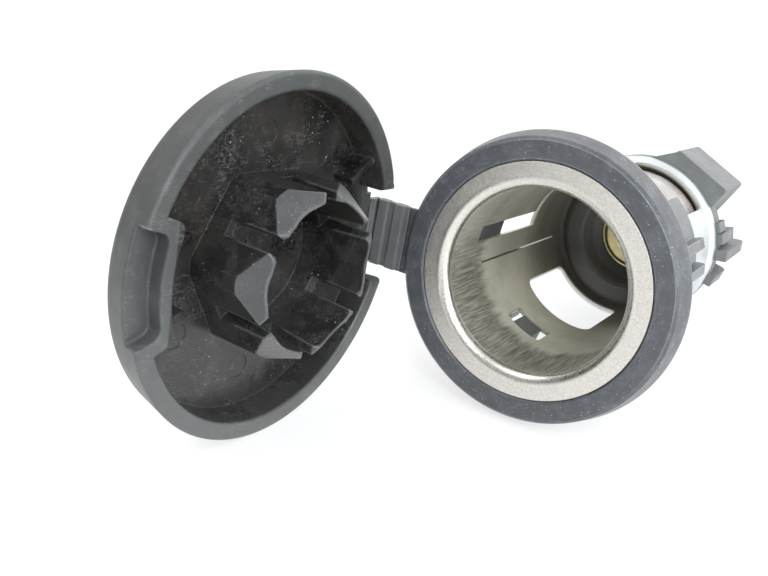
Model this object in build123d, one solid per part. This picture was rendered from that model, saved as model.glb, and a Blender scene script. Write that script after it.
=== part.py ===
from build123d import *
import os
from math import cos, radians, sin

# Dashboard power socket with a strapped cap. Sizes are in millimetres and degrees.
# The socket is drawn standing with its mouth up (+Z), its panel seat at zero height and its
# axis on Z, and is turned at the end so that the mouth faces -Y and the strap lies at -X.
# Angles about the axis count from +X, anticlockwise as seen from the mouth.

# Fits
seat_gap = 0.10          # sliding clearance between pieces that slip into each other
hinge_gap = 0.12         # clearance round the bead of a bending groove
tiny = 0.001             # tolerance for picking an edge by its place

# Socket shell, drawn from sheet
bore_radius = 10.7
sheet = 0.6
shell_flange_radius = 13.65
lip_radius = 1.2         # rolled lip between flange and bore
shell_reach = 35.9       # seat to the outside of the shell's bottom
bottom_bend = 1.2        # inner radius between wall and bottom
window_width = 10.7
hem = 0.6                # crimped edge round the bottom
hem_height = 1.9
window_height = 13.55    # two large windows
window_back = 2.45       # their far edge before the shell's bottom
window_corner = 1.2
slot_width = 5.2         # latch slots in front of the windows
slot_near = 9.5
slot_height = 4.3
slot_corner = 0.4
tongue_angle = 184.5     # spring tongues that press on the plug's side
tongue_width = 2.7
tongue_tip = 7.0         # seat to a tongue's tip
tongue_root = 32.0
tongue_slit = 0.3        # cut round its tip and one side
relief_width = 2.2       # open slot along its other side
relief_near = 5.0
relief_far = 23.2
relief_turn = 1.3        # end of that slot, turned round the bore
relief_sweep = 48.0      # as far as this from the tongue
clock = 67.0             # direction of the windows and latches about the axis

# Bezel: ring over the panel hole and the sleeve behind it
flange_thick = 2.9
flange_front_radius = 16.4
flange_rear_radius = 17.0
flange_edge = 0.4        # chamfer round the front edge
recess_sink = 0.15       # shell flange below the bezel's front face
recess_edge = 0.2
sleeve_wall = 1.2
sleeve_length = 15.6     # seat to the sleeve's rear edge
tab_length = 5.2         # tabs past that edge, beside the latches
tab_start = 16.0         # beside the latch's middle
tab_sweep = 43.0
spring_notch = 5.4       # gap in the sleeve's edge over the slot beside each spring tongue
spring_notch_near = 13.4
latch_width = 3.4
latch_root = 6.5         # seat to the root of the latch tongues
latch_play = 0.4         # room for the hook along its slot
fin_angles = (23.0, 9.5)
fin_thick = 1.2
fin_radius = 14.2
fin_near = 2.6           # seat to the fins' front shoulders: the panel's thickness
fin_far = 19.6
fin_round = 1.1

# Strap: a band from the bezel and a tongue from the cap, bending in thin grooves
strap_width = 8.1
strap_thick = 1.2
strap_depth = 1.2        # bezel front face to the strap's middle
groove_root = 17.4       # socket axis to the groove at the bezel
groove_pitch = 2.30      # to the groove across the band, and on to the one at the corner
groove_width = 0.8
web_thick = 0.56         # material left in a groove
web_reach = 0.9          # thin end of the tongue at the corner
fold_reach = 0.6         # its other thin end, beside the cap
band_edge = 0.2
tongue_plate = 1.0
tongue_reach = 2.0       # corner groove to the groove at the cap
fold_angle = 75.0        # sharpest angle between band and tongue

# Cap, drawn closed over the bezel and then swung open
lid_open = 93.6
lid_radius = 19.75
lid_draft = 1.1          # the outer face leans in by this much
lid_height = 5.1
lid_edge = 1.3           # round of the outer edge
rim_lift = 0.15          # closed skirt above the bezel's front face
rim_width = 2.05
rim_round = 0.35
skirt_depth = 3.6
skirt_draft = 0.3
corner_past = 1.67       # cap's edge to the corner groove, with the tongue straight
hinge_level = 4.1        # skirt end to the tongue's middle
notch_high = 6.2         # gap in the skirt round the strap, wider on one side
notch_low = 4.8
notch_round = 0.8
tab_half = 5.0           # half width of the tab that carries the tongue
guard_angle = 34.0       # low ribs beside the gap, away from the strap's middle
guard_thick = 0.8
guard_near = 13.4        # axis to their inner ends
guard_drop = 1.0         # skirt end to their tops
finger_half = 4.9        # recess for a fingertip, opposite the strap
finger_floor = 1.7
finger_depth = 3.25      # how far the recess reaches in from the edge
finger_wall = 1.4
finger_corner = 1.2
rib_place = 3.8
rib_thick = 0.9
rib_run = 2.9
rib_fall = 0.9           # slope of their tops
crown_flat = 8.8         # six-sided plug that closes the bore: axis to its flats
crown_corner = 9.7       # axis to its blunt corners
crown_bore = 7.9
crown_draft = 0.8        # its bore narrows by this much
crown_height = 8.7
bevel_depth = 2.6        # flat bevel on each fingertip, down the corner
bevel_run = 1.95         # and in towards the axis
finger_count = 6
finger_slot = 1.8
finger_slot_depth = 6.3
finger_flare = 0.4       # bevel on each side of a fingertip
pin_mark_inset = 4.85    # ejector pin marks, in from the skirt
pin_mark_angles = (34.0, 86.0, 128.0)
pin_mark_radius = 1.4
pin_mark_depth = 0.1

# Insulator, contact and terminals
insulator_flange = 1.0   # lies inside the bend of the shell's bottom
insulator_bevel = 0.4
spigot_radius = 8.0
spigot_length = 4.2      # past the shell's bottom
well_radius = 7.0
well_floor = 1.3
contact_sheet = 0.5
contact_flat = 2.7
contact_rise = 0.6
contact_ring = 0.8
contact_radius = 5.2
rivet_radius = 1.5
rivet_head_radius = 2.4
rivet_head_height = 0.7
rivet_fit = 0.05
terminal_sheet = 0.8
ground_sheet = 0.6
blade_width = 2.8
blade_reach = 10.0       # shell bottom to the blade tips
blade_tip = 0.3
blade_pitch = 5.5
ground_foot = 2.6
foot_half = 2.2

# Rear housing
cup_radius = 11.9
cup_height = 3.4
cup_edge = 0.6
boss_radius = 9.3
boss_height = 5.8
cover_radius = 3.9
cover_height = 7.3
shroud_clock = 63.3      # direction of the connector about the axis
shroud_width = 8.8
shroud_shift = 1.0       # middle of the connector beside the axis
shroud_near = 3.0        # connector's inner and outer faces from the axis
shroud_far = 13.8
shroud_wall = 1.1
shroud_corner = 0.5
shroud_reach = 11.2      # shell bottom to the connector's mouth
brace_run = 2.3          # slope from the connector's side down to the cup
brace_drop = 3.4
guide_thick = 1.5
guide_fins = ((22.0, 12.4, 4.4), (14.5, 12.7, 8.4), (4.0, 13.5, 11.8), (-14.0, 12.9, 7.8))
guide_round = 0.9

# Worked-out sizes
shell_radius = bore_radius + sheet
front = flange_thick
shell_front = front - recess_sink
shell_end = -shell_reach
window_near = shell_reach - window_back - window_height
shell_floor = shell_end + sheet
relief_side = (tongue_width + relief_width) / 2 / bore_radius / radians(1)
sleeve_bore = shell_radius + seat_gap
sleeve_radius = sleeve_bore + sleeve_wall
strap_level = front - strap_depth
groove_corner = groove_root + 2 * groove_pitch
corner_reach = lid_radius + corner_past
groove_lid = corner_reach - tongue_reach
rim = front + rim_lift
lid_floor = rim + skirt_depth
lid_top_radius = lid_radius - lid_draft
lid_top = rim + lid_height
skirt_bore = lid_radius - rim_width
lid_groove = rim + hinge_level
spigot_end = shell_end - spigot_length
well_bottom = spigot_end + well_floor
contact_top = well_bottom + contact_sheet
foot_back = spigot_end - terminal_sheet
shroud_middle = (shroud_near + shroud_far) / 2
positive_offset = shroud_middle - blade_pitch / 2
ground_offset = shroud_middle + blade_pitch / 2
blade_end = shell_end - blade_reach
shroud_end = shell_end - shroud_reach
boss_end = shell_end - boss_height
far_out = 2 * lid_radius


def turned(*points):
    """Solid of revolution about the standing axis, from (radius, height) points."""
    outline = Polyline(*[(radius, 0, height) for radius, height in points], close=True)
    return revolve(make_face(outline), Axis.Z)


def sector(inner, outer, low, high, middle, sweep):
    """Part of a standing tube, centred on an angle about its axis."""
    corners = [(inner, 0, low), (outer, 0, low), (outer, 0, high), (inner, 0, high)]
    piece = revolve(make_face(Polyline(*corners, close=True)), Axis.Z, sweep)
    return Rot(Z=middle - sweep / 2) * piece


def block(x_low, x_high, y_low, y_high, z_low, z_high):
    """Box between two corners."""
    middle = Pos((x_low + x_high) / 2, (y_low + y_high) / 2, (z_low + z_high) / 2)
    return middle * Box(x_high - x_low, y_high - y_low, z_high - z_low)


def ring_edges(solid, radius, height):
    """Round edges of a turned piece at one radius and height."""
    round_edges = solid.edges().filter_by(GeomType.CIRCLE)
    level = [edge for edge in round_edges if abs(edge.arc_center.Z - height) < tiny]
    return [edge for edge in level if abs(edge.radius - radius) < tiny]


def wall_plane(angle, height):
    """Plane through the axis, facing outward at an angle, with its Y up."""
    outward = (cos(radians(angle)), sin(radians(angle)), 0)
    sideways = (-sin(radians(angle)), cos(radians(angle)), 0)
    return Plane(origin=(0, 0, height), x_dir=sideways, z_dir=outward)


def wall_cut(angle, width, near, height, corner):
    """Cutter with rounded corners through one side of a standing tube."""
    opening = wall_plane(angle, -near - height / 2) * RectangleRounded(width, height, corner)
    return extrude(opening, far_out)


def radial_fin(angle, inner, outer, low, high, thick, corner):
    """Flat axial fin standing out from the axis, with its rear outer corner rounded."""
    corners = [(inner, low), (outer, low), (outer, high), (inner, high)]
    outline = make_face(Polyline(*corners, close=True))
    outline = fillet(outline.vertices().sort_by(Axis.Y)[:2].sort_by(Axis.X)[-1:], corner)
    fin = extrude(Plane.XZ * outline, thick / 2, both=True)
    return Rot(Z=angle) * fin


def opposite_pair(piece):
    """A piece and its copy half a turn round the axis."""
    return piece + Rot(Z=180) * piece


def tongue_cut():
    """Cuts that free one spring tongue of the shell: a slit, and a wide slot turned at its end."""
    half = tongue_width / 2
    relief = block_2d(-half - relief_width, -half, -relief_far, -relief_near)
    slit = block_2d(half, half + tongue_slit, -tongue_root, -tongue_tip)
    tip = block_2d(-half, half + tongue_slit, -tongue_tip - tongue_slit, -tongue_tip)
    cuts = extrude(wall_plane(tongue_angle, 0) * (relief + slit + tip), far_out)
    sweep = relief_sweep - relief_side
    turn = sector(bore_radius - sheet, shell_radius + sheet, -relief_far, -relief_far + relief_turn,
                  tongue_angle - relief_sweep + sweep / 2, sweep)
    return cuts + turn


def make_shell():
    """Drawn steel cup: flange, rolled lip, windows, latch slots, spring tongues and crimped edge."""
    shell = turned(
        (spigot_radius + seat_gap, shell_end),
        (shell_radius + hem, shell_end),
        (shell_radius + hem, shell_end + hem_height - hem),
        (shell_radius, shell_end + hem_height),
        (shell_radius, shell_front - sheet),
        (shell_flange_radius, shell_front - sheet),
        (shell_flange_radius, shell_front),
        (bore_radius, shell_front),
        (bore_radius, shell_floor),
        (spigot_radius + seat_gap, shell_floor),
    )
    shell = fillet(ring_edges(shell, bore_radius, shell_front), lip_radius)
    shell = fillet(ring_edges(shell, shell_radius, shell_front - sheet), lip_radius - sheet)
    shell = fillet(ring_edges(shell, shell_radius + hem, shell_end), hem / 2)
    shell = fillet(ring_edges(shell, shell_radius + hem, shell_end + hem_height - hem), hem / 2)
    shell = fillet(ring_edges(shell, bore_radius, shell_floor), bottom_bend)
    window = wall_cut(clock, window_width, window_near, window_height, window_corner)
    slot = wall_cut(clock, slot_width, slot_near, slot_height, slot_corner)
    return shell - opposite_pair(window) - opposite_pair(slot) - opposite_pair(tongue_cut())


def make_latch():
    """Latch tongue of the sleeve, with the hook that stands in the shell's slot."""
    hook_near = slot_near + latch_play
    hook_far = slot_near + slot_height - latch_play
    sweep = latch_width / sleeve_radius / radians(1)
    arm = sector(sleeve_bore, sleeve_radius, -hook_far, -latch_root, clock, sweep)
    hook = sector(bore_radius + seat_gap, sleeve_bore, -hook_far, -hook_near, clock, sweep)
    return arm + hook


def make_bezel():
    """Bezel ring with its sleeve, latches, panel fins and the root of the strap."""
    recess_floor = shell_front - sheet
    recess_radius = shell_flange_radius + seat_gap
    bezel = turned(
        (sleeve_bore, -sleeve_length),
        (sleeve_radius, -sleeve_length),
        (sleeve_radius, 0),
        (flange_rear_radius, 0),
        (flange_front_radius, front - flange_edge),
        (flange_front_radius - flange_edge, front),
        (recess_radius + recess_edge, front),
        (recess_radius, front - recess_edge),
        (recess_radius, recess_floor),
        (sleeve_bore + lip_radius - sheet, recess_floor),
        (sleeve_bore, recess_floor - lip_radius + sheet),
    )
    tab = sector(sleeve_bore, sleeve_radius, -sleeve_length - tab_length, -sleeve_length,
                 clock - tab_start - tab_sweep / 2, tab_sweep)
    bezel = bezel + opposite_pair(tab)
    for angle in fin_angles:
        fin = radial_fin(angle, sleeve_bore + sleeve_wall / 2, fin_radius, -fin_far, -fin_near,
                         fin_thick, fin_round)
        bezel = bezel + opposite_pair(fin)
    notch = wall_cut(clock, slot_width, latch_root, sleeve_length, slot_corner)
    spring_gap = wall_cut(tongue_angle - relief_side, spring_notch, spring_notch_near, sleeve_length,
                          slot_corner)
    bezel = bezel - opposite_pair(notch) - opposite_pair(spring_gap) + opposite_pair(make_latch())
    stub_end = groove_root - sleeve_radius
    stub = Pos(-sleeve_radius - stub_end / 2, strap_level) * Rectangle(stub_end, web_thick)
    stub = across(stub - seat_spot(groove_root, strap_level))
    collar = turned((recess_radius + recess_edge, 0), (far_out, 0), (far_out, front),
                    (recess_radius + recess_edge, front))
    return bezel + (stub & collar)


def block_2d(x_low, x_high, y_low, y_high):
    """Rectangle between two corners."""
    middle = Pos((x_low + x_high) / 2, (y_low + y_high) / 2)
    return middle * Rectangle(x_high - x_low, y_high - y_low)


def bead_spot(reach, level):
    """Round end of the piece that swings in a groove."""
    return Pos(-reach, level) * Circle(web_thick / 2)


def seat_spot(reach, level):
    """Hollow that holds such an end."""
    return Pos(-reach, level) * Circle(web_thick / 2 + hinge_gap)


def across(profile):
    """Strap piece of full width from its side view."""
    return extrude(Plane.XZ * profile, strap_width / 2, both=True)


def fold_relief():
    """Room beside the corner groove for the tongue when it is folded shut."""
    thin = web_thick / 2 + hinge_gap
    thick = tongue_plate / 2 + hinge_gap
    near = block_2d(0, corner_reach, -thin, far_out)
    far = block_2d(web_reach - hinge_gap, corner_reach, -thick, far_out)
    return Pos(-groove_corner, strap_level) * Rot(Z=fold_angle) * (near + far)


def make_strap_band():
    """Band next to the bezel, with a groove across it and a bevel where the tongue folds over."""
    profile = block_2d(-groove_corner, -groove_root,
                       strap_level - web_thick / 2, strap_level + web_thick / 2)
    for step in (0.5, 1.5):
        stiff = RectangleRounded(groove_pitch - groove_width, strap_thick, band_edge)
        profile = profile + Pos(-groove_root - step * groove_pitch, strap_level) * stiff
    profile = profile + bead_spot(groove_root, strap_level)
    return across(profile - seat_spot(groove_corner, strap_level) - fold_relief())


def make_strap_tongue():
    """Tongue between the corner groove and the cap, drawn straight out from the closed cap."""
    half = tongue_plate / 2
    plate = block_2d(-corner_reach + web_reach, -groove_lid - fold_reach, -half, half)
    web = block_2d(-corner_reach, -groove_lid, -web_thick / 2, web_thick / 2)
    profile = plate + web + bead_spot(corner_reach, 0) - seat_spot(groove_lid, 0)
    return across(Pos(0, lid_groove) * profile)


def make_crown():
    """Six-sided plug inside the cap, slotted into fingers with bevelled tips."""
    tip = lid_floor - crown_height
    outline = RegularPolygon(crown_flat, finger_count, major_radius=False) & Circle(crown_corner)
    crown = extrude(Pos(0, 0, tip) * outline, crown_height + tiny)
    crown = crown - turned((0, tip), (crown_bore, tip),
                           (crown_bore - crown_draft, lid_floor), (0, lid_floor))
    bevel = make_face(Polyline((crown_corner - bevel_run, tip), (crown_corner, tip + bevel_depth),
                               (far_out, tip + bevel_depth), (far_out, tip - bevel_depth),
                               (crown_corner - bevel_run, tip - bevel_depth), close=True))
    bevel = extrude(Plane.XZ * bevel, crown_flat, both=True)
    half = finger_slot / 2
    slot = make_face(Polyline((-half, finger_slot_depth), (-half, finger_flare),
                              (-half - finger_flare, 0), (half + finger_flare, 0),
                              (half, finger_flare), (half, finger_slot_depth), close=True))
    pitch = 360 / finger_count
    for step in range(finger_count):
        crown = crown - Rot(Z=pitch * step) * bevel
        crown = crown - extrude(wall_plane(pitch * (step + 0.5), tip) * slot, far_out)
    return crown


def make_finger_recess(lid):
    """Add the recess for a fingertip at the edge opposite the strap, with its curved wall and ribs."""
    wall_outer = lid_radius - finger_depth
    wall_inner = wall_outer - finger_wall
    half_sweep = finger_half / wall_outer / radians(1)
    wall_sweep = finger_wall / wall_outer / radians(1)
    body_sweep = 2 * (half_sweep + wall_sweep)
    body = sector(wall_inner, lid_radius - rim_width / 2, rim, lid_floor + tiny, 0, body_sweep)
    body = fillet(body.edges().filter_by(Axis.Z).sort_by(Axis.X)[:2], finger_corner)
    recess = sector(wall_outer, far_out, rim - rim_round, rim + finger_floor, 0, 2 * half_sweep)
    recess = fillet(recess.edges().filter_by(Axis.Z).sort_by(Axis.X)[:2], finger_corner)
    lid = lid + body - recess
    rib_end = wall_inner - rib_run
    rib_top = rim + rim_round
    rib = make_face(Polyline((wall_inner + tiny, rib_top), (wall_inner + tiny, lid_floor + tiny),
                             (rib_end, lid_floor + tiny), (rib_end, rib_top + rib_fall), close=True))
    rib = extrude(Plane.XZ * rib, rib_thick / 2, both=True)
    return lid + Pos(0, rib_place, 0) * rib + Pos(0, -rib_place, 0) * rib


def make_notch():
    """Cutter for the gap in the skirt, with rounded corners at the skirt's end."""
    below = rim - lid_edge
    profile = block_2d(-notch_low, notch_high, below, lid_floor)
    for edge, side in ((notch_high, 1), (-notch_low, -1)):
        centre = Pos(edge + side * notch_round, rim + notch_round)
        corner = centre * block_2d(-notch_round, notch_round, below - rim - notch_round, 0)
        profile = profile + (corner - centre * Circle(notch_round) - centre * Pos(side * notch_round, 0)
                             * Rectangle(2 * notch_round, 4 * notch_round))
    start = lid_radius - 2 * rim_width
    return extrude(Plane.YZ.offset(-far_out) * profile, far_out - start)


def make_lid():
    """Cap in its closed place over the bezel."""
    lid = turned((0, lid_floor), (skirt_bore - skirt_draft, lid_floor), (skirt_bore, rim),
                 (lid_radius, rim), (lid_top_radius, lid_top), (0, lid_top))
    lid = fillet(ring_edges(lid, lid_top_radius, lid_top), lid_edge)
    lid = fillet(ring_edges(lid, lid_radius, rim) + ring_edges(lid, skirt_bore, rim), rim_round)
    for side in (-1, 1):
        guard = block(guard_near, skirt_bore, -guard_thick / 2, guard_thick / 2,
                      rim + guard_drop, lid_floor + tiny)
        lid = lid + Rot(Z=180 + side * guard_angle) * guard
    lid = lid - make_notch()
    edge = groove_lid - groove_width / 2
    lid = lid + block(-edge, -skirt_bore + rim_width, -tab_half, tab_half,
                      lid_floor, lid_floor + tongue_plate)
    web = block_2d(-groove_lid, -edge + tiny, -web_thick / 2, web_thick / 2) + bead_spot(groove_lid, 0)
    lid = make_finger_recess(lid) + make_crown() + across(Pos(0, lid_groove) * web)
    for angle in pin_mark_angles:
        for side in (-1, 1):
            spot = Rot(Z=side * angle) * Pos(skirt_bore - pin_mark_inset, 0, lid_floor)
            lid = lid - spot * Cylinder(pin_mark_radius, 2 * pin_mark_depth)
    return lid


def swing_open(piece):
    """Hang the cap or its tongue on the corner groove of the straight band, swung open."""
    to_groove = Pos(-groove_corner, 0, strap_level)
    from_groove = Pos(corner_reach, 0, -lid_groove)
    return to_groove * Rot(Y=-lid_open) * from_groove * piece


def make_insulator():
    """Stepped insulator in the shell's bottom, with the well of the centre contact."""
    face = shell_floor + insulator_flange
    edge = bore_radius - seat_gap - bottom_bend
    return turned(
        (rivet_radius + rivet_fit, spigot_end),
        (spigot_radius, spigot_end),
        (spigot_radius, shell_floor),
        (edge, shell_floor),
        (edge + insulator_flange - insulator_bevel, face - insulator_bevel),
        (edge, face - insulator_bevel),
        (edge, face),
        (well_radius + insulator_bevel, face),
        (well_radius, face - insulator_bevel),
        (well_radius, well_bottom),
        (rivet_radius + rivet_fit, well_bottom),
    )


def make_contact():
    """Pressed brass contact with a raised ring, on the floor of the well."""
    rise = contact_rise
    slope_end = contact_flat + rise
    ring_end = slope_end + contact_ring
    foot = ring_end + rise
    lean = contact_sheet / 2
    return turned(
        (rivet_radius + rivet_fit, well_bottom),
        (contact_flat, well_bottom),
        (slope_end, well_bottom + rise),
        (ring_end, well_bottom + rise),
        (foot, well_bottom),
        (contact_radius, well_bottom),
        (contact_radius, contact_top),
        (foot + lean, contact_top),
        (ring_end + lean, contact_top + rise),
        (slope_end - lean, contact_top + rise),
        (contact_flat - lean, contact_top),
        (rivet_radius + rivet_fit, contact_top),
    )


def make_rivet():
    """Rivet that clamps contact, insulator and positive terminal together."""
    head = contact_top + rivet_head_height
    tail = foot_back - rivet_head_height
    rivet = turned(
        (0, tail),
        (rivet_head_radius, tail),
        (rivet_head_radius, foot_back),
        (rivet_radius, foot_back),
        (rivet_radius, contact_top),
        (rivet_head_radius, contact_top),
        (rivet_head_radius, head),
        (0, head),
    )
    ends = ring_edges(rivet, rivet_head_radius, head) + ring_edges(rivet, rivet_head_radius, tail)
    return fillet(ends, rivet_head_height / 2)


def blade(offset, thick, start):
    """Flat contact blade that stands in the connector, with a bevelled tip."""
    half = blade_width / 2
    piece = block(shroud_shift - half, shroud_shift + half, offset - thick / 2, offset + thick / 2,
                  blade_end, start)
    tip = piece.faces().sort_by(Axis.Z)[0]
    return chamfer(tip.edges(), min(blade_tip, thick / 3))


def make_positive_terminal():
    """Strip from the rivet to the inner blade."""
    reach = positive_offset + terminal_sheet / 2
    half = blade_width / 2
    foot = block(-foot_half, shroud_shift + half, -foot_half, foot_half, foot_back, spigot_end)
    neck = block(shroud_shift - half, shroud_shift + half, 0, reach, foot_back, spigot_end)
    hole = Pos(0, 0, spigot_end) * Cylinder(rivet_radius + rivet_fit, 4 * terminal_sheet)
    return foot + neck + blade(positive_offset, terminal_sheet, spigot_end) - hole


def make_ground_terminal():
    """Angle strip from the shell's bottom to the outer blade."""
    half = blade_width / 2
    reach = ground_offset + ground_sheet / 2
    foot = block(shroud_shift - half, shroud_shift + half, reach - ground_foot, reach,
                 shell_end - ground_sheet, shell_end)
    return foot + blade(ground_offset, ground_sheet, shell_end)


def shroud_box(shrink, low, high):
    """Block of the connector's outline, smaller all round by a wall."""
    width = shroud_width - 2 * shrink
    height = shroud_far - shroud_near - 2 * shrink
    outline = RectangleRounded(width, height, max(shroud_corner - shrink, shroud_corner / 2))
    return extrude(Pos(shroud_shift, shroud_middle, low) * outline, high - low)


def blade_slot(offset, thick, top):
    """Slot in the housing for one blade."""
    half = blade_width / 2 + seat_gap
    side = thick / 2 + seat_gap
    return block(shroud_shift - half, shroud_shift + half, offset - side, offset + side,
                 boss_end - tiny, top)


def make_housing():
    """Rear cup with the connector shroud, drawn with the connector along +Y."""
    cup = turned((0, shell_end), (cup_radius, shell_end), (cup_radius, shell_end - cup_height + cup_edge),
                 (cup_radius - cup_edge, shell_end - cup_height), (0, shell_end - cup_height))
    boss = turned((0, shell_end), (boss_radius, shell_end), (boss_radius, boss_end), (0, boss_end))
    cover_end = shell_end - cover_height
    cover = turned((0, shell_end), (cover_radius, shell_end), (cover_radius, cover_end + cup_edge),
                   (cover_radius - cup_edge, cover_end), (0, cover_end))
    shroud_side = shroud_shift - shroud_width / 2
    brace_foot = shroud_far - brace_drop
    brace = make_face(Polyline((shroud_side + shroud_wall, brace_foot),
                               (shroud_side - brace_run, brace_foot),
                               (shroud_side, shroud_far - shroud_corner),
                               (shroud_side + shroud_wall, shroud_far - shroud_corner), close=True))
    brace = extrude(Pos(0, 0, shell_end - cup_height) * brace, cup_height)
    housing = cup + boss + cover + brace + shroud_box(0, shroud_end, shell_end)
    for angle, radius, reach in guide_fins:
        fin = radial_fin(angle + 90 - shroud_clock, boss_radius - guide_thick, radius, shell_end - reach,
                         shell_end, guide_thick, guide_round)
        housing = housing + opposite_pair(fin)
    housing = housing - shroud_box(shroud_wall, shroud_end - shroud_wall, boss_end)
    bore_end = spigot_end - seat_gap
    bore = turned((0, shell_end), (spigot_radius + seat_gap, shell_end),
                  (spigot_radius + seat_gap, bore_end), (0, bore_end))
    half = blade_width / 2 + seat_gap
    pocket = block(-foot_half - seat_gap, shroud_shift + half, -foot_half - seat_gap,
                   positive_offset + terminal_sheet / 2 + seat_gap, foot_back - seat_gap, bore_end)
    tail_room = rivet_head_radius + seat_gap
    tail_end = foot_back - rivet_head_height - seat_gap
    tail = turned((0, bore_end), (tail_room, bore_end), (tail_room, tail_end), (0, tail_end))
    foot_end = ground_offset + ground_sheet / 2 + seat_gap
    foot = block(shroud_shift - half, shroud_shift + half, 0, foot_end,
                 shell_end - ground_sheet - seat_gap, shell_end)
    positive_slot = blade_slot(positive_offset, terminal_sheet, bore_end)
    ground_slot = blade_slot(ground_offset, ground_sheet, shell_end)
    return housing - bore - pocket - tail - foot - positive_slot - ground_slot


def main():
    """Write every piece in the socket's own frame."""
    facing = Plane(origin=(0, 0, 0), x_dir=(1, 0, 0), z_dir=(0, -1, 0))
    clocked = Rot(Z=shroud_clock - 90)
    pieces = {
        "bezel": make_bezel(),
        "strap_band": make_strap_band(),
        "strap_tongue": swing_open(make_strap_tongue()),
        "lid": swing_open(make_lid()),
        "socket_shell": make_shell(),
        "rear_insulator": make_insulator(),
        "centre_contact": make_contact(),
        "contact_rivet": make_rivet(),
        "positive_terminal": clocked * make_positive_terminal(),
        "ground_terminal": clocked * make_ground_terminal(),
        "rear_housing": clocked * make_housing(),
    }
    os.makedirs("parts", exist_ok=True)
    for name, piece in pieces.items():
        export_step(facing.location * piece, os.path.join("parts", name + ".step"))


main()
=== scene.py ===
from math import cos, radians, sin
from types import SimpleNamespace

import bpy
from mathutils import Matrix, Vector

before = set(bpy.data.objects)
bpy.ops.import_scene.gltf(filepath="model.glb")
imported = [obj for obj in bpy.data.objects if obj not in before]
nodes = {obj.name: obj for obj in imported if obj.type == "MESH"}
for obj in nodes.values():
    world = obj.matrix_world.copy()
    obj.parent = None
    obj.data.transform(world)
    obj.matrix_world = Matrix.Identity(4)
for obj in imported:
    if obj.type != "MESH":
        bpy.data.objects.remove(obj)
MM = 0.001


def colour(r, g, b):
    """Linear colour with full alpha."""
    return (r, g, b, 1.0)


# Camera: where the photograph was taken from, round a point between cap and socket
TARGET = Vector((-18.27, -2.9, -6.39)) * MM
AZIMUTH = radians(28.50)
ELEVATION = radians(17.93)
ROLL = radians(10.31)
DISTANCE = 114.04 * MM
LENS = 43.45
SENSOR = 36.0
CLIP_NEAR = 5.0 * MM
CLIP_FAR = 20.0

# Floor: less than 0.1 mm under the bezel and the cap's edge, about 2 mm under the rear housing
FLOOR_LEVEL = -17.1 * MM
FLOOR_SLOPE_X = 0.031
FLOOR_SLOPE_Y = 0.089
FLOOR_HALF = 3.0
FLOOR_ROUGHNESS = 0.9
FLOOR_GLOW = 0.7                   # share of its own light, seen directly or mirrored
FLOOR_SHINE = (1.0, 1.3)           # strength of that light, seen directly and mirrored
FLOOR_PALE = colour(0.93, 0.93, 0.93)
FLOOR_COOL = colour(0.88, 0.90, 0.92)
FOLD_STRETCH = (1.0, 3.0, 1.0)
FOLD_TURN = (0.0, 0.0, 0.5)
FOLD_RANGE = (0.4, 0.7)

# Room: bright behind the socket, dim towards the camera
BRIGHT_SIDE = (0.40, 0.80, 0.45)
BRIGHT_RANGE = (0.0, 0.9)          # agreement with that side
BRIGHT_LEVELS = (0.85, 1.7)
DIM_SIDE = (0.40, -0.90, 0.15)
DIM_RANGE = (0.2, 0.9)             # agreement with that side
DIM_LOSS = (0.0, 0.40)
WHITE = colour(1.0, 1.0, 1.0)
COOL_LIGHT = (0.92, 0.96, 1.0)
FRONT_AIM = (-8.0, -8.0, 0.0)      # in front of the mouth, on the strap's side, in millimetres

# Cap: the middle of its rim, and how far its mouth is turned from +X
CAP_MIDDLE = Vector((-19.25, -23.34, 0.0)) * MM
CAP_TURN = radians(-3.6)

# Zones of the cap: where each starts and is full, in millimetres from the middle of the rim
SKIRT_OUTSIDE = (17.6, 17.9)       # radius
SKIRT_INSIDE = (17.0, 17.35)       # radius
CAP_TOP = (-4.2, -4.5)             # height out of the mouth
RECESS_REACH = (-14.9, -15.2)      # sideways, away from the strap
RECESS_HALF = (6.8, 6.4)           # up or down
TIP_HEIGHT = (0.0, 1.0)
TIP_RADIUS = (10.4, 9.8)
# Tip faces that turn towards the mouth's direction get a painted sheen
TIP_FACING = (0.15, 0.40)          # agreement with the mouth's direction, without a unit
# The cap is painted paler towards its lower side, as painted light from below
LOW_SIDE = (6.0, -18.0)            # up
# Outer edge of the rim on the upper side away from the strap, where a highlight is painted
EDGE_RADIUS = (18.9, 19.2)
EDGE_HEIGHT = (-1.4, -0.8)
EDGE_SIDE = (8.0, 22.0)            # up, plus sideways away from the strap

# Looks of the cap: a pair is for the rest and for the zone itself
CAP_ROUGHNESS = (0.24, 0.42)       # inside, outside
CAP_DUSTINESS = (1.0, 0.25)        # inside, outside
CAP_HAZE = 0.15
CAP_ROUNDING = (0.15 * MM, 0.45 * MM)
# Paler edges: slight rubbing on the rest of the cap and a painted highlight on the tips; a painted
# highlight on the rim's upper outer edge
TIP_WEAR_AND_HIGHLIGHT = (0.04, 0.22)
RIM_EDGE_HIGHLIGHT = 0.5
SHINE_RANGE = (0.0, 0.6)           # how low on the cap
SHINE_SHARES = (0.45, 1.0)
BROWN_RANGE = (0.46, 0.60)

# Zones of the bezel, in millimetres from the frame's origin
BEZEL_BACK = (-1.0, 1.0)           # depth
# Where the bezel's edge gets a painted highlight
BEZEL_HIGHLIGHT_SIDE = (2.0, 16.0)           # up, plus sideways away from the strap

# Looks of the bezel
BEZEL_ARC = 1.6 * MM               # length given to one radian of its turned scratches
BEZEL_RANGE = (0.52, 0.74)
# Paler edges: slight rubbing, and a painted highlight at the upper right
BEZEL_WEAR_AND_HIGHLIGHT = (0.05, 0.7)
BEZEL_ROUGHNESS = 0.34
BEZEL_DUSTINESS = 0.9
BEZEL_HAZE = 0.05
BEZEL_ROUNDING = 0.25 * MM

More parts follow.
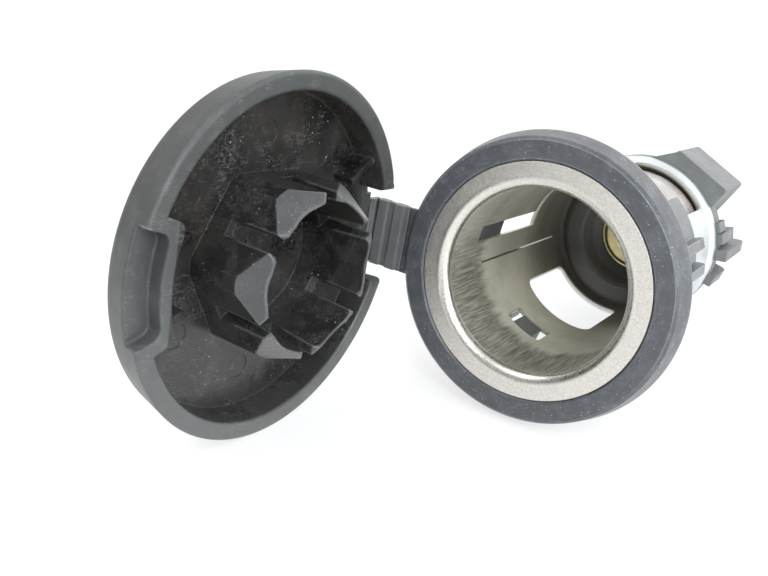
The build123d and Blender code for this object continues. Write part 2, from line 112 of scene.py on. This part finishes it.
# Zones of the shell, in millimetres from the frame's origin
BORE_WALL = (11.0, 10.85)          # radius
BORE_MOUTH = (-1.9, -1.2)          # depth
BORE_END = (17.0, 28.0)            # depth
LIP_RADIUS = (12.2, 11.7)
LIP_DEPTH = (-1.2, -1.8)
SHELL_OUTSIDE = (11.05, 11.25)     # radius
SHELL_BEHIND = (1.0, 3.0)          # depth
MARKS_DEPTH = (8.6, 5.6)
MARKS_SIDE = (7.0, -4.0)           # up

# Looks of the shell
BORE_RADIUS = 10.7 * MM
BORE_METAL = (1.0, 0.5)            # outside the bore, inside it
BORE_ROUGHER = 0.12
BORE_END_SHARES = (0.0, 0.75)
LIP_SMOOTHER = 0.16
MARKS_STRETCH = 0.04               # share of the depth in the streaks' noise, which makes them long
MARKS_RAGGED = 8.0 * MM
MARKS_SHARES = (0.4, 1.0)          # high side, low side
STREAK_RANGE = (0.38, 0.62)
STREAK_SHARES = (0.42, 0.88)
GRAIN_RANGE = (0.32, 0.68)
NICKEL_ROUGHNESS = (0.42, 0.54)
NICKEL_HEIGHT = (0.6, 0.1)         # grain elsewhere, grain on the lip
NICKEL_BUMP = 0.3
NICKEL_RELIEF = 0.03 * MM
NICKEL_ROUNDING = 0.12 * MM

# Looks of the brass
BRASS_STRETCH = (6000.0, 400.0, 6000.0)
BRASS_ROUGHNESS = (0.28, 0.48)
BRASS_BUMP = 0.2
BRASS_RELIEF = 0.02 * MM
BRASS_ROUNDING = 0.10 * MM

# Looks of the other plastics
PLAIN_DUSTINESS = 0.3
STRAP_ROUGHNESS = 0.45
HOUSING_ROUGHNESS = 0.5
INSULATOR_ROUGHNESS = 0.5
INSULATOR_DUSTINESS = 0.4
PALE_TOP_HEIGHT = (4.0, 7.0)           # millimetres up from the bore's axis

# Looks of every plastic
CLOUD_SHARE = 0.3
CLOUD_ROUGHER = 0.08
DIRT_ROUGHER = 0.35
SCRATCH_SHARE = 0.25
SCRATCH_DEPTH = 0.6
GRAIN_HEIGHT = 0.5
PLASTIC_BUMP = 0.12
PLASTIC_RELIEF = 0.02 * MM
PLASTIC_IOR = 1.5
PLASTIC_SHINE = 0.5
EDGE_RANGE = (0.99, 0.90)          # agreement of a rounded normal with its face

# Noise: the values at which a mask starts and is full
NOISE_MIDDLE = 0.5
NOISE_RANGE = (0.3, 0.7)
BLOTCH_RANGE = (0.35, 0.65)
PATCH_RANGE = (0.48, 0.64)
FILM_RANGE = (0.45, 0.75)

# Scratches: lines per metre and turn of each set
SCRATCH_SETS = ((9000.0, (0.3, 0.9, 0.2)), (7000.0, (1.2, 0.2, 1.1)))
SCRATCH_WIDTH = 0.03
SCRATCH_LENGTH = 50.0              # times their spacing
BREAK_SCALE = 500.0
BREAK_RANGE = (0.50, 0.62)

# Specks: cells per metre and size of each set, the size as a share of a cell
SPECK_SETS = ((1300.0, 0.15), (2800.0, 0.20))
SPECK_PICKED = (0.75, 0.77)        # cells with a higher number hold a speck
SPECK_SHADES = (0.15, 1.0)
SPECK_OUTER = 1.7                  # times the size, ragged edge included
SPECK_INNER = 1.2
SPECK_RAGGED = 1.6
SPECK_FINER = 6.0                  # times finer than the cells, the noise at their edge

# Colours of the cap
CAP_INSIDE = colour(0.007, 0.0066, 0.006)
# Paler inside colour low down: painted light
CAP_INSIDE_LIT_LOW = colour(0.020, 0.020, 0.020)
CAP_WALL = colour(0.024, 0.0235, 0.022)
# Painted sheen on the tip faces
CAP_TIP_SHEEN = colour(0.036, 0.039, 0.040)
CAP_OUTSIDE = colour(0.034, 0.038, 0.037)
# Paler outside colour low down: painted light
CAP_OUTSIDE_LIT_LOW = colour(0.082, 0.086, 0.085)
CAP_DUST = colour(0.32, 0.31, 0.30)
CAP_BROWN_DUST = colour(0.22, 0.15, 0.10)

# Colours of the other plastics
BEZEL_FACE = colour(0.053, 0.056, 0.062)
BEZEL_SCRATCH = colour(0.105, 0.112, 0.124)
# Paler behind the flange: dust, and painted light for the strong light on the rear
BEZEL_BEHIND_DUSTY_AND_LIT = colour(0.100, 0.106, 0.107)
BEZEL_DUST = colour(0.42, 0.46, 0.52)
STRAP = colour(0.108, 0.113, 0.113)
STRAP_DUST = colour(0.30, 0.28, 0.26)
# Rear housing: black plastic painted pale grey, as painted light for the strong light and haze on the rear
HOUSING_LIT_GREY = colour(0.135, 0.142, 0.142)
HOUSING_DUST = colour(0.34, 0.34, 0.33)
INSULATOR = colour(0.090, 0.087, 0.082)
INSULATOR_PALE_TOP = colour(0.84, 0.78, 0.75)
INSULATOR_DUST = colour(0.22, 0.20, 0.17)
CLOUD = colour(0.05, 0.05, 0.05)
# Paler edge colour: rubbing, and a painted highlight where the cap and bezel ask for it
WORN_AND_HIGHLIGHT_EDGE = colour(0.30, 0.33, 0.36)

# Colours of the metals
PLATE_DARK = colour(0.58, 0.56, 0.51)
PLATE_PALE = colour(0.73, 0.71, 0.665)
PLATE_BEHIND = colour(0.60, 0.63, 0.64)
BORE_DULL = colour(0.50, 0.485, 0.405)
BORE_PALE = colour(0.58, 0.565, 0.48)
BORE_DARK = colour(0.050, 0.047, 0.038)
PLUG_MARKS = colour(0.085, 0.080, 0.062)
CONTACT = colour(0.92, 0.82, 0.44)
CONTACT_DULL = colour(0.74, 0.68, 0.37)
TERMINAL = colour(0.62, 0.50, 0.26)
TERMINAL_DULL = colour(0.50, 0.42, 0.24)


class Tree:
    """Node tree of one material or world, written as nested calls."""

    def __init__(self, owner):
        owner.use_nodes = True
        self.tree = owner.node_tree
        self.tree.nodes.clear()

    def add(self, kind, inputs=None, out=0, **settings):
        """New node: sockets are linked or set to plain values. Returns one of its outputs, if any."""
        node = self.tree.nodes.new(kind)
        for name, value in settings.items():
            setattr(node, name, value)
        for name, value in (inputs or {}).items():
            socket = node.inputs[name]
            if isinstance(value, bpy.types.NodeSocket):
                self.tree.links.new(value, socket)
            else:
                socket.default_value = value
        return node.outputs[out] if node.outputs else None

    def math(self, operation, a, b=0.0, clamp=False):
        """One arithmetic step."""
        return self.add("ShaderNodeMath", {0: a, 1: b}, operation=operation, use_clamp=clamp)

    def times(self, first, *others):
        """Product of several values."""
        for other in others:
            first = self.math("MULTIPLY", first, other)
        return first

    def most(self, first, *others):
        """Largest of several values."""
        for other in others:
            first = self.math("MAXIMUM", first, other)
        return first

    def ramp(self, value, limits, ends=(0.0, 1.0)):
        """Value mapped smoothly from a pair of limits to a pair of ends, and held at both."""
        settings = {"Value": value, "From Min": limits[0], "From Max": limits[1],
                    "To Min": ends[0], "To Max": ends[1]}
        return self.add("ShaderNodeMapRange", settings, interpolation_type="SMOOTHSTEP")

    def zone(self, value, limits, ends=(0.0, 1.0)):
        """Ramp between two places in millimetres."""
        return self.ramp(value, (limits[0] * MM, limits[1] * MM), ends)

    def between(self, factor, ends):
        """Number between a pair of ends, by a factor from 0 to 1."""
        return self.ramp(factor, (0.0, 1.0), ends)

    def mix(self, factor, a, b):
        """Colour between a and b, which are the node's sockets 6 and 7, from its output 2."""
        return self.add("ShaderNodeMix", {0: factor, 6: a, 7: b}, out=2, data_type="RGBA")

    def noise(self, vector, scale, detail=2.0, roughness=0.5):
        """Soft noise of a given scale per metre."""
        settings = {"Vector": vector, "Scale": scale, "Detail": detail, "Roughness": roughness}
        return self.add("ShaderNodeTexNoise", settings)

    def coords(self):
        """Position on the object in metres."""
        return self.add("ShaderNodeTexCoord", out="Object")

    def place(self, scale=(1.0, 1.0, 1.0), turn=(0.0, 0.0, 0.0)):
        """Position on the object, stretched and turned."""
        return self.add("ShaderNodeMapping", {"Vector": self.coords(), "Scale": scale, "Rotation": turn})

    def axes(self, vector):
        """The three coordinates of a vector."""
        node = self.tree.nodes.new("ShaderNodeSeparateXYZ")
        self.tree.links.new(vector, node.inputs["Vector"])
        return node.outputs

    def dot(self, a, b):
        """How far two directions agree."""
        return self.add("ShaderNodeVectorMath", {0: a, 1: b}, out="Value", operation="DOT_PRODUCT")

    def radius(self, vector, kept):
        """Distance from the axis whose coordinate isn't kept."""
        flat = self.add("ShaderNodeVectorMath", {0: vector, 1: kept}, operation="MULTIPLY")
        return self.add("ShaderNodeVectorMath", {0: flat}, out="Value", operation="LENGTH")

    def rounded(self, radius):
        """Normal that runs smoothly over edges, as if they had this radius."""
        return self.add("ShaderNodeBevel", {"Radius": radius}, samples=6)

    def edge(self, soft):
        """How far a rounded normal turns away from its face."""
        face = self.add("ShaderNodeNewGeometry", out="Normal")
        return self.ramp(self.dot(soft, face), EDGE_RANGE)

    def scratches(self, fine, turn):
        """Thin lines in one direction, broken up along their length."""
        lines = self.noise(self.place((fine, fine / SCRATCH_LENGTH, fine), turn), scale=1.0, detail=1.0)
        breaks = self.noise(self.place(turn=turn), scale=BREAK_SCALE)
        off_line = self.math("ABSOLUTE", self.math("SUBTRACT", lines, NOISE_MIDDLE))
        return self.times(self.ramp(off_line, (SCRATCH_WIDTH, 0.0)), self.ramp(breaks, BREAK_RANGE))

    def specks(self, scale, size):
        """Small ragged dots, some missing and some faint."""
        settings = {"Vector": self.place(), "Scale": scale}
        distance = self.add("ShaderNodeTexVoronoi", settings, out="Distance", feature="F1")
        cell = self.add("ShaderNodeTexVoronoi", settings, out="Color", feature="F1")
        pick = self.add("ShaderNodeSeparateColor", {"Color": cell}, out="Red")
        shade = self.add("ShaderNodeSeparateColor", {"Color": cell}, out="Green")
        ragged = self.noise(self.place(), scale * SPECK_FINER, detail=1.0)
        reach = self.math("ADD", distance, self.times(ragged, size * SPECK_RAGGED))
        dot = self.ramp(reach, (size * SPECK_OUTER, size * SPECK_INNER))
        return self.times(dot, self.ramp(pick, SPECK_PICKED), self.between(shade, SPECK_SHADES))

    def surface(self, shader):
        """Connects the finished shader."""
        self.add("ShaderNodeOutputMaterial", {"Surface": shader})


def dusty(t, amount, haze):
    """How scratched and how dusty a spot is: short scratches, a thin film in patches, and specks."""
    lines = t.most(*(t.scratches(fine, turn) for fine, turn in SCRATCH_SETS))
    dots = t.most(*(t.specks(scale, size) for scale, size in SPECK_SETS))
    patches = t.ramp(t.noise(t.place(), scale=110.0, detail=3.0), PATCH_RANGE)
    fine = t.ramp(t.noise(t.place(), scale=2600.0, detail=4.0, roughness=0.7), FILM_RANGE)
    film = t.times(patches, fine, haze)
    dirt = t.math("MULTIPLY", t.math("ADD", film, dots), amount, clamp=True)
    return lines, dirt


def plastic(t, body, dust, roughness, dust_amount, haze=0.12, rounding=0.18 * MM, edge_wear_and_highlight=0.06,
            shine=PLASTIC_SHINE):
    """Moulded plastic with fine grain, dust, scratches and paler edges: rubbed edges, and painted
    highlights where the caller asks for them.
    """
    soft = t.rounded(rounding)
    cloud = t.ramp(t.noise(t.place(), scale=180.0, detail=4.0, roughness=0.6), NOISE_RANGE)
    grain = t.noise(t.place(), scale=9000.0)
    lines, dirt = dusty(t, dust_amount, haze)
    body = t.mix(t.times(cloud, CLOUD_SHARE), body, CLOUD)
    # Paler edges: rubbing, and painted highlights where asked
    body = t.mix(t.times(t.edge(soft), edge_wear_and_highlight), body, WORN_AND_HIGHLIGHT_EDGE)
    body = t.mix(t.times(lines, SCRATCH_SHARE), body, dust)
    body = t.mix(dirt, body, dust)
    rough = t.math("ADD", roughness, t.times(cloud, CLOUD_ROUGHER))
    rough = t.math("ADD", rough, t.times(dirt, DIRT_ROUGHER), clamp=True)
    height = t.math("SUBTRACT", t.times(grain, GRAIN_HEIGHT), t.times(lines, SCRATCH_DEPTH))
    bump = {"Height": height, "Strength": PLASTIC_BUMP, "Distance": PLASTIC_RELIEF, "Normal": soft}
    look = {"Base Color": body, "Roughness": rough, "IOR": PLASTIC_IOR, "Specular IOR Level": shine,
            "Normal": t.add("ShaderNodeBump", bump)}
    t.surface(t.add("ShaderNodeBsdfPrincipled", look))


def metal(t, body, rough, height, strength, relief, rounding, metallic=1.0):
    """Metal with a fine relief and softly rounded edges."""
    bump = {"Height": height, "Strength": strength, "Distance": relief, "Normal": t.rounded(rounding)}
    look = {"Base Color": body, "Metallic": metallic, "Roughness": rough,
            "Normal": t.add("ShaderNodeBump", bump)}
    t.surface(t.add("ShaderNodeBsdfPrincipled", look))


def plain_plastic(name, base, dust, roughness):
    """Plastic of one colour all over, with little dust."""
    material = bpy.data.materials.new(name)
    plastic(Tree(material), base, dust, roughness, PLAIN_DUSTINESS)
    return material


def cap_places(t):
    """Places on the cap: height out of its mouth, sideways to the strap, up, and distance from its axis."""
    turn = (0.0, 0.0, CAP_TURN)
    own = t.add("ShaderNodeMapping", {"Vector": t.coords(), "Location": CAP_MIDDLE, "Rotation": turn},
                vector_type="TEXTURE")
    height, sideways, up = t.axes(own)
    radius = t.radius(own, kept=(0.0, 1.0, 1.0))
    return SimpleNamespace(height=height, sideways=sideways, up=up, radius=radius)


def cap_zones(t):
    """Parts of the cap that look different from each other, some of them only through painted light."""
    at = cap_places(t)
    recess = t.times(t.zone(at.sideways, RECESS_REACH), t.zone(t.math("ABSOLUTE", at.up), RECESS_HALF))
    outside = t.most(t.zone(at.radius, SKIRT_OUTSIDE), recess, t.zone(at.height, CAP_TOP))
    tips = t.times(t.zone(at.height, TIP_HEIGHT), t.zone(at.radius, TIP_RADIUS))
    # Tip faces turned towards the mouth's direction, where a sheen is painted
    mouth = (cos(CAP_TURN), sin(CAP_TURN), 0.0)
    facing = t.dot(t.add("ShaderNodeTexCoord", out="Normal"), mouth)
    lit_tip_faces = t.times(tips, t.ramp(facing, TIP_FACING))
    # Outer edge of the rim on the upper side away from the strap, for a painted highlight
    edge = t.times(t.zone(at.radius, EDGE_RADIUS), t.zone(at.height, EDGE_HEIGHT),
                   t.zone(t.math("SUBTRACT", at.up, at.sideways), EDGE_SIDE))
    return SimpleNamespace(outside=outside, tips=tips, lit_tip_faces=lit_tip_faces, edge=edge,
                           wall=t.zone(at.radius, SKIRT_INSIDE), low=t.zone(at.up, LOW_SIDE))


def cap_plastic():
    """Cap: satin grey-black outside and on the rim, glossier, darker and dusty inside; painted paler
    towards its lower side as light, with a painted sheen on the tip faces and painted highlights on the tip
    edges and the rim's upper outer edge.
    """
    material = bpy.data.materials.new("cap_plastic")
    t = Tree(material)
    zone = cap_zones(t)
    # Painted light: inside and outside grow paler towards the lower side
    inner = t.mix(zone.low, CAP_INSIDE, CAP_INSIDE_LIT_LOW)
    inner = t.mix(zone.wall, inner, CAP_WALL)
    # Painted sheen on the tip faces
    inner = t.mix(zone.lit_tip_faces, inner, CAP_TIP_SHEEN)
    outer = t.mix(zone.low, CAP_OUTSIDE, CAP_OUTSIDE_LIT_LOW)
    body = t.mix(zone.outside, inner, outer)
    brown = t.ramp(t.noise(t.place(), scale=90.0), BROWN_RANGE)
    dust = t.mix(brown, CAP_DUST, CAP_BROWN_DUST)
    rough = t.between(zone.outside, CAP_ROUGHNESS)
    amount = t.between(zone.outside, CAP_DUSTINESS)
    rounding = t.between(t.most(zone.tips, zone.outside), CAP_ROUNDING)
    # Paler edges: slight rubbing all over, painted highlights on the tips and on the rim's upper outer edge
    edge_wear_and_highlight = t.most(t.between(zone.tips, TIP_WEAR_AND_HIGHLIGHT), t.times(zone.edge, RIM_EDGE_HIGHLIGHT))
    share = t.most(zone.outside, zone.tips, t.ramp(zone.low, SHINE_RANGE, SHINE_SHARES))
    shine = t.times(share, PLASTIC_SHINE)
    plastic(t, body, dust, rough, amount, CAP_HAZE, rounding, edge_wear_and_highlight, shine)
    return material


def bore_places(t):
    """Places about the bore's axis: across, depth behind the panel's front, up, radius and angle."""
    coords = t.coords()
    x, depth, z = t.axes(coords)
    radius = t.radius(coords, kept=(1.0, 0.0, 1.0))
    return SimpleNamespace(x=x, depth=depth, z=z, radius=radius, angle=t.math("ARCTAN2", z, x))


def bezel_plastic():
    """Bezel and sleeve: blue-black, paler behind the flange with dust and painted light, and a painted
    highlight along the edge at the upper right.
    """
    material = bpy.data.materials.new("bezel_plastic")
    t = Tree(material)
    at = bore_places(t)
    around = t.add("ShaderNodeCombineXYZ", {"X": at.radius, "Y": t.times(at.angle, BEZEL_ARC)})
    turned = t.noise(around, scale=7000.0, detail=3.0, roughness=0.6)
    front = t.mix(t.ramp(turned, BEZEL_RANGE), BEZEL_FACE, BEZEL_SCRATCH)
    # Paler behind the flange: dust and painted light
    body = t.mix(t.zone(at.depth, BEZEL_BACK), front, BEZEL_BEHIND_DUSTY_AND_LIT)
    # Painted highlight on the edge at the upper right, over slight rubbing
    edge_wear_and_highlight = t.zone(t.math("ADD", at.x, at.z), BEZEL_HIGHLIGHT_SIDE, BEZEL_WEAR_AND_HIGHLIGHT)
    plastic(t, body, BEZEL_DUST, BEZEL_ROUGHNESS, BEZEL_DUSTINESS, BEZEL_HAZE, BEZEL_ROUNDING, edge_wear_and_highlight)
    return material


def plug_marks(t, at):
    """Streaks along the bore near its mouth, where plugs have rubbed, strongest on its lower side."""
    along = t.add("ShaderNodeCombineXYZ", {"X": t.times(at.angle, BORE_RADIUS),
                                           "Y": t.times(at.depth, MARKS_STRETCH)})
    noise = t.noise(along, scale=900.0, detail=4.0, roughness=0.6)
    ragged = t.times(t.math("SUBTRACT", noise, NOISE_MIDDLE), MARKS_RAGGED)
    band = t.zone(t.math("ADD", at.depth, ragged), MARKS_DEPTH)
    side = t.zone(at.z, MARKS_SIDE, MARKS_SHARES)
    streaks = t.noise(along, scale=4800.0, detail=4.0, roughness=0.65)
    return t.times(band, side, t.ramp(streaks, STREAK_RANGE, STREAK_SHARES))


def nickel():
    """Satin nickel on drawn steel: grainy flange, polished lip, and a dull bore that darkens to its end."""
    material = bpy.data.materials.new("satin_nickel")
    t = Tree(material)
    at = bore_places(t)
    inside = t.times(t.zone(at.radius, BORE_WALL), t.zone(at.depth, BORE_MOUTH))
    lip = t.times(t.zone(at.radius, LIP_RADIUS), t.zone(at.depth, LIP_DEPTH))
    behind = t.times(t.zone(at.radius, SHELL_OUTSIDE), t.zone(at.depth, SHELL_BEHIND))
    grain = t.noise(t.place(), scale=5200.0, detail=3.0, roughness=0.6)
    blotch = t.ramp(t.noise(t.place(), scale=260.0, detail=4.0, roughness=0.6), BLOTCH_RANGE)
    plate = t.mix(t.ramp(grain, GRAIN_RANGE), PLATE_DARK, PLATE_PALE)
    plate = t.mix(behind, plate, PLATE_BEHIND)
    tarnish = t.mix(blotch, BORE_DULL, BORE_PALE)
    tarnish = t.mix(t.zone(at.depth, BORE_END, BORE_END_SHARES), tarnish, BORE_DARK)
    body = t.mix(inside, plate, tarnish)
    body = t.mix(t.times(inside, plug_marks(t, at)), body, PLUG_MARKS)
    rough = t.ramp(grain, NOISE_RANGE, NICKEL_ROUGHNESS)
    rough = t.math("ADD", rough, t.times(inside, BORE_ROUGHER))
    rough = t.math("SUBTRACT", rough, t.times(lip, LIP_SMOOTHER))
    height = t.times(grain, t.between(lip, NICKEL_HEIGHT))
    metallic = t.between(inside, BORE_METAL)
    metal(t, body, rough, height, NICKEL_BUMP, NICKEL_RELIEF, NICKEL_ROUNDING, metallic)
    return material


def insulator_plastic():
    """Dark grey moulding at the end of the bore, paler towards its top, below the upper window."""
    material = bpy.data.materials.new("insulator_plastic")
    t = Tree(material)
    up = t.add("ShaderNodeSeparateXYZ", {"Vector": t.coords()}, out="Z")
    body = t.mix(t.zone(up, PALE_TOP_HEIGHT), INSULATOR, INSULATOR_PALE_TOP)
    plastic(t, body, INSULATOR_DUST, INSULATOR_ROUGHNESS, INSULATOR_DUSTINESS)
    return material


def brass(name, base, dull):
    """Pressed brass with dull patches and a rolled grain."""
    material = bpy.data.materials.new(name)
    t = Tree(material)
    blotch = t.noise(t.place(), scale=420.0, detail=4.0, roughness=0.6)
    grain = t.noise(t.place(BRASS_STRETCH), scale=1.0)
    body = t.mix(t.ramp(blotch, BLOTCH_RANGE), base, dull)
    rough = t.ramp(blotch, NOISE_RANGE, BRASS_ROUGHNESS)
    metal(t, body, rough, grain, BRASS_BUMP, BRASS_RELIEF, BRASS_ROUNDING)
    return material


def camera():
    """Camera at the photograph's place, with its roll."""
    away = Vector((sin(AZIMUTH) * cos(ELEVATION), -cos(AZIMUTH) * cos(ELEVATION), sin(ELEVATION)))
    right = Vector((cos(AZIMUTH), sin(AZIMUTH), 0.0))
    up = away.cross(right)
    rolled_right = right * cos(ROLL) + up * sin(ROLL)
    rolled_up = up * cos(ROLL) - right * sin(ROLL)
    data = bpy.data.cameras.new("camera")
    data.lens = LENS
    data.sensor_width = SENSOR
    data.clip_start = CLIP_NEAR
    data.clip_end = CLIP_FAR
    item = bpy.data.objects.new("camera", data)
    bpy.context.scene.collection.objects.link(item)
    item.matrix_world = (Matrix.Translation(TARGET + away * DISTANCE)
                         @ Matrix((rolled_right, rolled_up, away)).transposed().to_4x4())
    bpy.context.scene.camera = item


def floor_material():
    """Pale cloth that partly shines by itself, as it is overexposed in the photograph."""
    material = bpy.data.materials.new("pale_floor")
    t = Tree(material)
    folds = t.noise(t.place(FOLD_STRETCH, FOLD_TURN), scale=60.0, detail=4.0, roughness=0.6)
    body = t.mix(t.ramp(folds, FOLD_RANGE), FLOOR_PALE, FLOOR_COOL)
    matt = t.add("ShaderNodeBsdfPrincipled", {"Base Color": body, "Roughness": FLOOR_ROUGHNESS})
    mirrored = t.add("ShaderNodeLightPath", out="Is Glossy Ray")
    seen = t.most(t.add("ShaderNodeLightPath", out="Is Camera Ray"), mirrored)
    glow = t.add("ShaderNodeEmission", {"Color": WHITE, "Strength": t.between(mirrored, FLOOR_SHINE)})
    t.surface(t.add("ShaderNodeMixShader", {0: t.times(seen, FLOOR_GLOW), 1: matt, 2: glow}))
    return material


def lay_floor():
    """Large sloping floor under the part."""
    mesh = bpy.data.meshes.new("floor")
    corners = [(-FLOOR_HALF, -FLOOR_HALF), (FLOOR_HALF, -FLOOR_HALF), (FLOOR_HALF, FLOOR_HALF),
               (-FLOOR_HALF, FLOOR_HALF)]
    points = [(x, y, FLOOR_LEVEL + FLOOR_SLOPE_X * x + FLOOR_SLOPE_Y * y) for x, y in corners]
    mesh.from_pydata(points, [], [(0, 1, 2, 3)])
    floor = bpy.data.objects.new("floor", mesh)
    bpy.context.scene.collection.objects.link(floor)
    mesh.materials.append(floor_material())


def light_room():
    """White surroundings, brighter on one side and dimmer on another."""
    world = bpy.data.worlds.new("white_room")
    bpy.context.scene.world = world
    t = Tree(world)
    direction = t.add("ShaderNodeTexCoord", out="Generated")
    bright = t.ramp(t.dot(direction, BRIGHT_SIDE), BRIGHT_RANGE, BRIGHT_LEVELS)
    loss = t.ramp(t.dot(direction, DIM_SIDE), DIM_RANGE, DIM_LOSS)
    seen = t.add("ShaderNodeLightPath", out="Is Camera Ray")
    strength = t.most(t.math("SUBTRACT", bright, loss), seen)
    light = t.add("ShaderNodeBackground", {"Color": WHITE, "Strength": strength})
    t.add("ShaderNodeOutputWorld", {"Surface": light})


def area_light(name, place, aim, size, power, tint=(1.0, 1.0, 1.0)):
    """Soft square light that points from one place at another, both in millimetres."""
    data = bpy.data.lights.new(name, "AREA")
    data.size = size * MM
    data.energy = power
    data.color = tint
    item = bpy.data.objects.new(name, data)
    bpy.context.scene.collection.objects.link(item)
    item.location = Vector(place) * MM
    item.rotation_euler = (Vector(aim) - Vector(place)).to_track_quat("-Z", "Y").to_euler()


def studio():
    """Floor, surroundings and soft lights."""
    lay_floor()
    light_room()
    area_light("key", (145.0, -215.0, 176.0), aim=FRONT_AIM, size=110.0, power=0.70, tint=COOL_LIGHT)
    area_light("right", (261.0, -93.0, 85.0), aim=FRONT_AIM, size=160.0, power=0.45, tint=COOL_LIGHT)
    area_light("left", (-190.0, -150.0, 290.0), aim=(-10.0, 0.0, 0.0), size=240.0, power=0.6)
    area_light("back", (140.0, 330.0, 260.0), aim=(5.0, 25.0, 0.0), size=260.0, power=0.2)


def paint():
    """Material of every piece."""
    strap = plain_plastic("strap_plastic", STRAP, STRAP_DUST, STRAP_ROUGHNESS)
    contact = brass("contact_brass", CONTACT, CONTACT_DULL)
    terminal = brass("terminal_brass", TERMINAL, TERMINAL_DULL)
    finishes = {
        "bezel": bezel_plastic(),
        "strap_band": strap,
        "strap_tongue": strap,
        "lid": cap_plastic(),
        "socket_shell": nickel(),
        "rear_insulator": insulator_plastic(),
        "centre_contact": contact,
        "contact_rivet": contact,
        "positive_terminal": terminal,
        "ground_terminal": terminal,
        "rear_housing": plain_plastic("housing_plastic", HOUSING_LIT_GREY, HOUSING_DUST, HOUSING_ROUGHNESS),
    }
    for name, material in finishes.items():
        slots = nodes[name].data.materials
        slots.clear()
        slots.append(material)


camera()
studio()
paint()
bpy.context.scene.view_settings.view_transform = "Standard"
